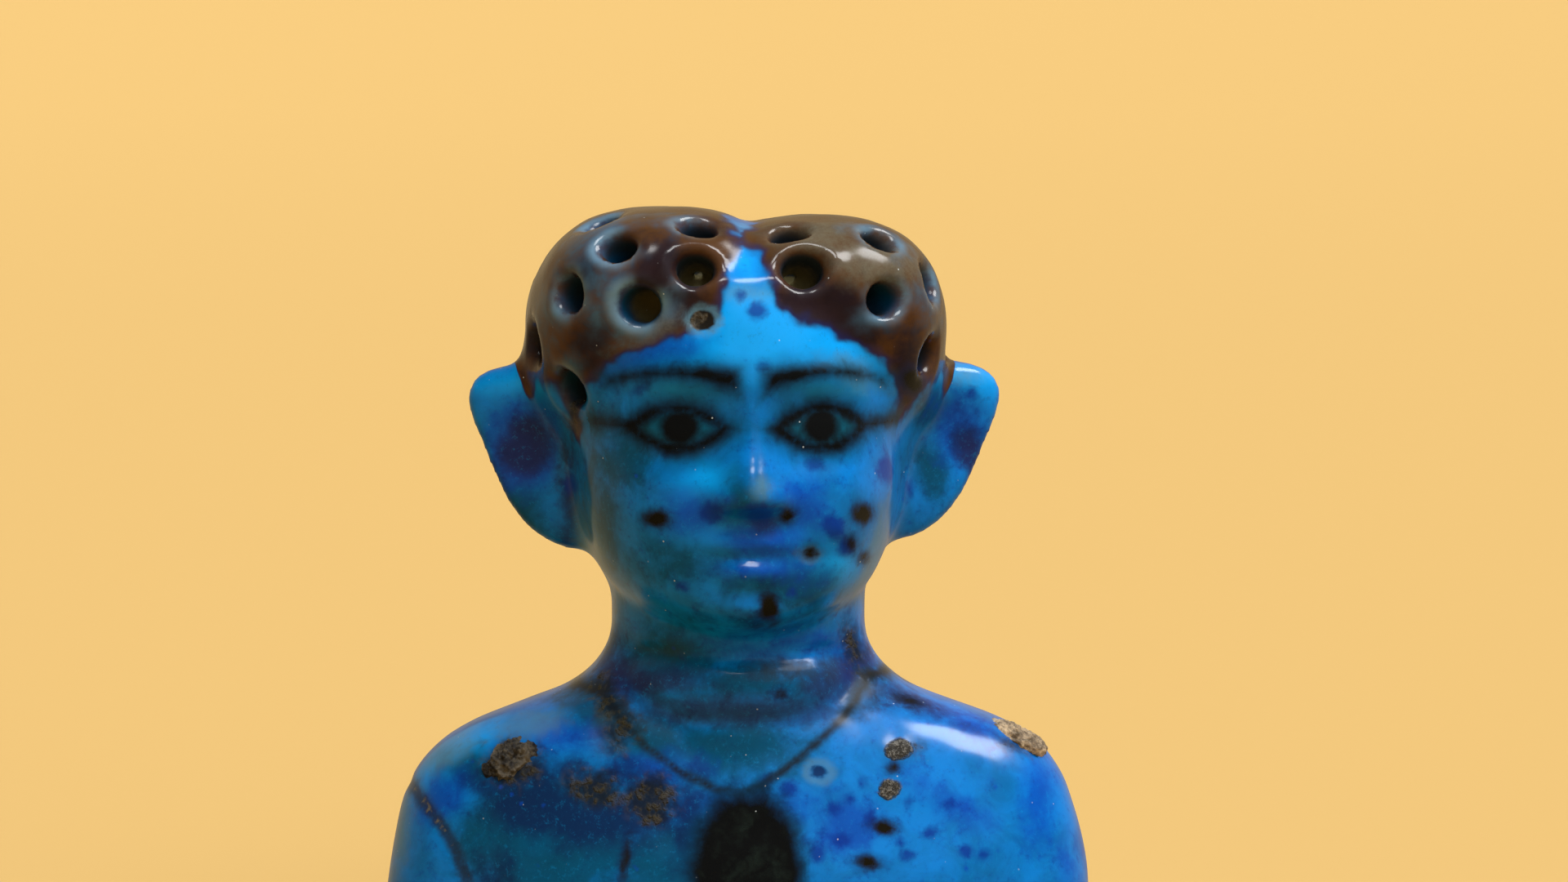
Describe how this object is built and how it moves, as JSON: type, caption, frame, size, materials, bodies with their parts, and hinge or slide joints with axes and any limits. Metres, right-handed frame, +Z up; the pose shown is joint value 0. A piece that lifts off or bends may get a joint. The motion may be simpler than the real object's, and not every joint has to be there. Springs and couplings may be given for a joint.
{
  "type": "female figurine bust",
  "caption": "Head and shoulders of a small blue faience female figurine with dark pierced hair and big ears, cut flat below the chest pendant.",
  "frame": {"origin": "middle of the flat underside, below the neck", "axes": "+Z up from the flat underside to the crown, the chest faces -Y, +X to the right of someone who looks at the face"},
  "size_m": [0.0398, 0.0238, 0.0433],
  "materials": {
    "faience_glaze": "glossy turquoise to cobalt glaze over faience, with dark painted hair, eyes and pendant"
  },
  "bodies": {
    "root": {"female_figurine": "faience_glaze"}
  },
  "joints": []
}
